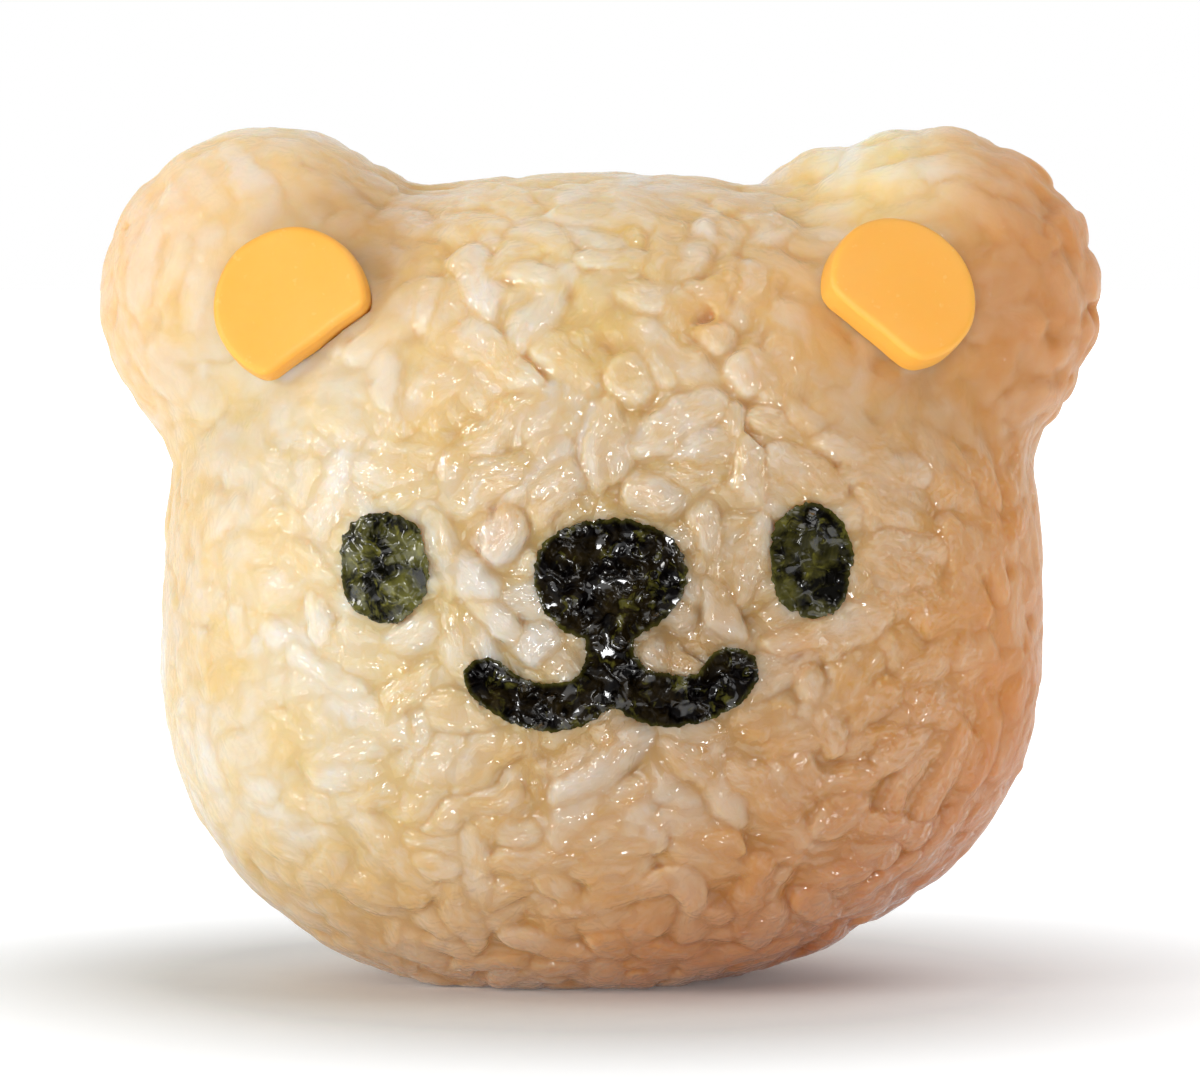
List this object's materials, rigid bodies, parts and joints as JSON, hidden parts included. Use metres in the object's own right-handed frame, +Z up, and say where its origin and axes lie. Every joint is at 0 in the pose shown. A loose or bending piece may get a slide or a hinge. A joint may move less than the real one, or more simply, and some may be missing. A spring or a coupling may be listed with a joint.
{
  "type": "bear-head moulded rice ball",
  "caption": "Pressed rice ball shaped as a bear's head with ball ears, disc slices cut straight for inner ears, and a punched seaweed face; stands on its flat chin.",
  "frame": {"origin": "middle of the footprint's bounding box, on the surface that the rice ball stands on", "axes": "+Z up from the flat chin to the crown, -Y out of the face, +X towards the ear on the right of someone who looks at the face"},
  "size_m": [0.0708, 0.0464, 0.0607],
  "materials": {
    "rice": "moist, softly glossy cooked grains",
    "cheese": "smooth satin",
    "nori": "damp, wrinkled, patchy gloss"
  },
  "bodies": {
    "root": {"rice_head": "rice", "rice_ear_left": "rice", "rice_ear_right": "rice", "inner_ear_slice_left": "cheese", "inner_ear_slice_right": "cheese", "nori_eye_left": "nori", "nori_eye_right": "nori", "nori_nose_and_mouth": "nori"}
  },
  "joints": []
}
